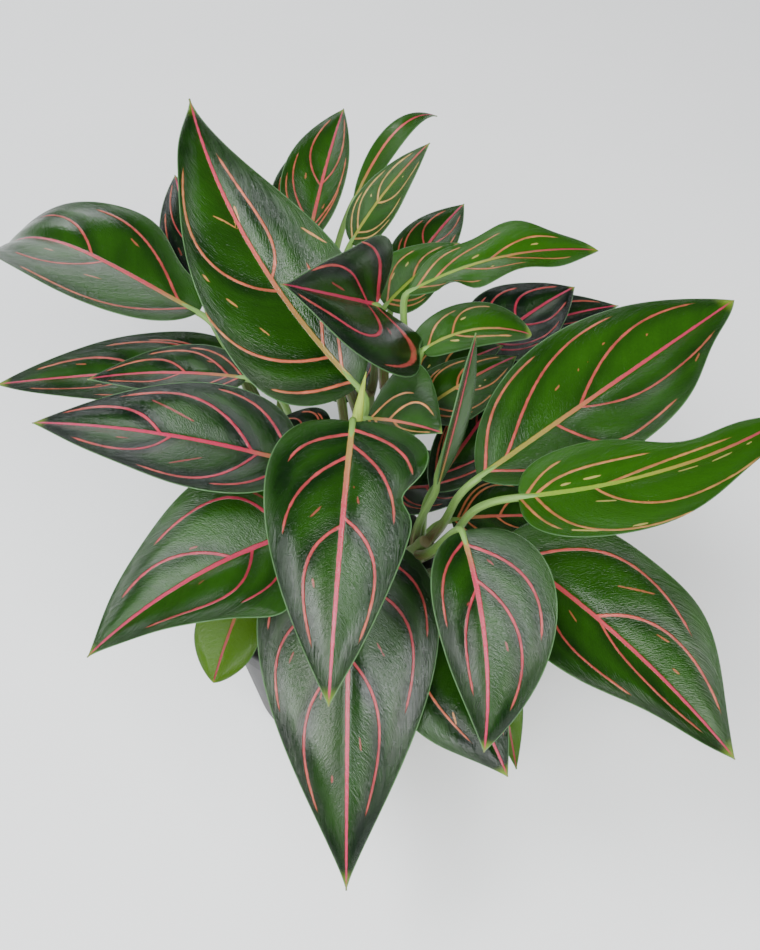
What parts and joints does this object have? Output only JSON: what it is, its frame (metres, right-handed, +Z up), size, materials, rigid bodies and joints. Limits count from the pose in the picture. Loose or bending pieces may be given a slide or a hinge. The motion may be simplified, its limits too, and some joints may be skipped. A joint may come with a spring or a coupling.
{
  "type": "potted tiger aglaonema",
  "caption": "A bushy potted foliage plant: broad pointed leaves in two tones on short stalks, spreading from upright canes rooted in the soil of a plain round tapered pot",
  "frame": {"origin": "centre of the pot's flat underside, where the pot rests", "axes": "+Z up along the pot's axis, -Y to the front, towards the viewer of the picture, +X to the right of the picture"},
  "size_m": [0.277, 0.2606, 0.2176],
  "materials": {
    "leaf_blade": "satin",
    "cane_skin": "satin",
    "young_leaf": "satin",
    "potting_mix": "matte",
    "pot_shell": "matte"
  },
  "bodies": {
    "root": {"cane_a": "cane_skin", "cane_b": "cane_skin", "cane_c": "cane_skin", "cane_d": "cane_skin", "cane_e": "cane_skin", "cane_f": "cane_skin", "leaf_a1": "leaf_blade", "leaf_a2": "leaf_blade", "leaf_a3": "leaf_blade", "leaf_a4": "leaf_blade", "leaf_a5": "leaf_blade", "leaf_b1": "leaf_blade", "leaf_b2": "leaf_blade", "leaf_b3": "leaf_blade", "leaf_b4": "leaf_blade", "leaf_b5": "leaf_blade", "leaf_b6": "leaf_blade", "leaf_b7": "leaf_blade", "leaf_b8": "leaf_blade", "leaf_b9": "leaf_blade", "leaf_c1": "leaf_blade", "leaf_c2": "leaf_blade", "leaf_c3": "leaf_blade", "leaf_c4": "leaf_blade", "leaf_c5": "leaf_blade", "leaf_c6": "leaf_blade", "leaf_c7": "leaf_blade", "leaf_c8": "leaf_blade", "leaf_d1": "leaf_blade", "leaf_d2": "leaf_blade", "leaf_d3": "leaf_blade", "leaf_d4": "leaf_blade", "leaf_d5": "leaf_blade", "leaf_d6": "leaf_blade", "leaf_e1": "leaf_blade", "leaf_e2": "leaf_blade", "leaf_e3": "leaf_blade", "leaf_f1": "leaf_blade", "leaf_f2": "leaf_blade", "leaf_f3": "leaf_blade", "leaf_f4": "leaf_blade", "leaf_f5": "leaf_blade", "leaf_f6": "leaf_blade", "leaf_f7": "leaf_blade", "pot": "pot_shell", "soil": "potting_mix", "spear": "young_leaf"}
  },
  "joints": []
}
